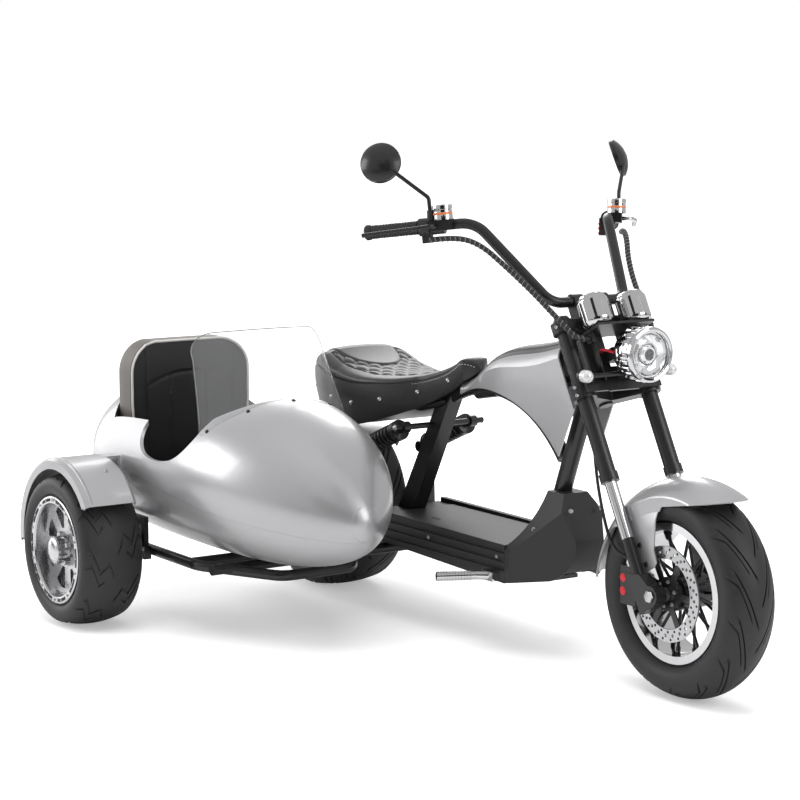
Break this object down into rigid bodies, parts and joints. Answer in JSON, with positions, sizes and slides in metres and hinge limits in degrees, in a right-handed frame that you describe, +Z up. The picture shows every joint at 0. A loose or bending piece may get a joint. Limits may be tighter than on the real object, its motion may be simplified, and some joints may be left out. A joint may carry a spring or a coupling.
{
  "type": "electric scooter with sidecar",
  "caption": "Electric scooter with a scooped saddle, raised handlebar and spoked front wheel, joined to an egg-shaped open sidecar with its own wheel, seat and windscreen.",
  "frame": {"origin": "middle of the whole vehicle's box, on the ground", "axes": "+X forward, +Y to the rider's left, +Z up"},
  "size_m": [2.0509, 1.3476, 1.2735],
  "materials": {
    "silver_paint": "gloss",
    "black_frame": "satin",
    "black_plastic": "matte",
    "dark_strip": "satin",
    "black_leather": "satin",
    "tyre_rubber": "matte",
    "black_rubber": "matte",
    "chrome": "polished",
    "alloy": "machined",
    "steel": "brushed",
    "clear": "clear",
    "red_lens": "gloss"
  },
  "bodies": {
    "chassis": {"main_frame": "black_frame", "deck_cover": "black_plastic", "battery_pack": "black_plastic", "deck_sides": "black_plastic", "front_cowl": "black_plastic", "foot_pegs": "chrome", "tank_cover": "silver_paint", "tank_strip": "dark_strip", "saddle": "black_leather", "swingarms": "black_frame", "rear_shocks": "black_frame", "rear_axle": "steel", "rear_fender": "silver_paint", "tail_lamp": "red_lens", "sidecar_frame": "black_frame", "sidecar_axle": "steel", "sidecar_fender": "silver_paint", "sidecar_lower_hull": "silver_paint", "sidecar_upper_hull": "silver_paint", "sidecar_seat": "black_leather", "sidecar_backrest": "black_leather", "sidecar_windscreen": "clear"},
    "steering": {"steering_stem": "black_frame", "lower_clamp": "black_frame", "top_clamp": "black_frame", "fork_uppers": "black_frame", "fork_lowers": "chrome", "front_axle": "steel", "front_fender": "silver_paint", "brake_caliper": "black_frame", "brake_hose": "black_rubber", "handlebar": "black_frame", "bar_risers": "black_frame", "grips": "black_rubber", "master_cylinders": "black_frame", "brake_levers": "chrome", "switch_housings": "black_plastic", "mirrors": "black_frame", "control_cables": "black_rubber", "lamp_bracket": "black_frame", "headlight": "chrome", "headlight_lens": "clear", "gauge_pods": "chrome", "turn_signals": "clear"},
    "front_wheel": {"front_tyre": "tyre_rubber", "front_rim": "chrome", "brake_disc": "steel"},
    "rear_wheel": {"rear_tyre": "tyre_rubber", "hub_motor": "alloy"},
    "sidecar_wheel": {"sidecar_tyre": "tyre_rubber", "sidecar_rim": "alloy"}
  },
  "joints": [
    {"name": "steering", "type": "hinge", "parent": "chassis", "child": "steering", "pos_m": [0.70122, 0.24422, 0.21203], "axis": [-0.4695, 0, 0.8829], "range_deg": [-30, 30]},
    {"name": "front_wheel_spin", "type": "hinge", "parent": "steering", "child": "front_wheel", "pos_m": [0.7745, 0.24422, 0.251], "axis": [0, 1, 0], "continuous": true},
    {"name": "rear_wheel_spin", "type": "hinge", "parent": "chassis", "child": "rear_wheel", "pos_m": [-0.7555, 0.24422, 0.238], "axis": [0, 1, 0], "continuous": true},
    {"name": "sidecar_wheel_spin", "type": "hinge", "parent": "chassis", "child": "sidecar_wheel", "pos_m": [-0.6955, -0.58578, 0.203], "axis": [0, 1, 0], "continuous": true}
  ]
}
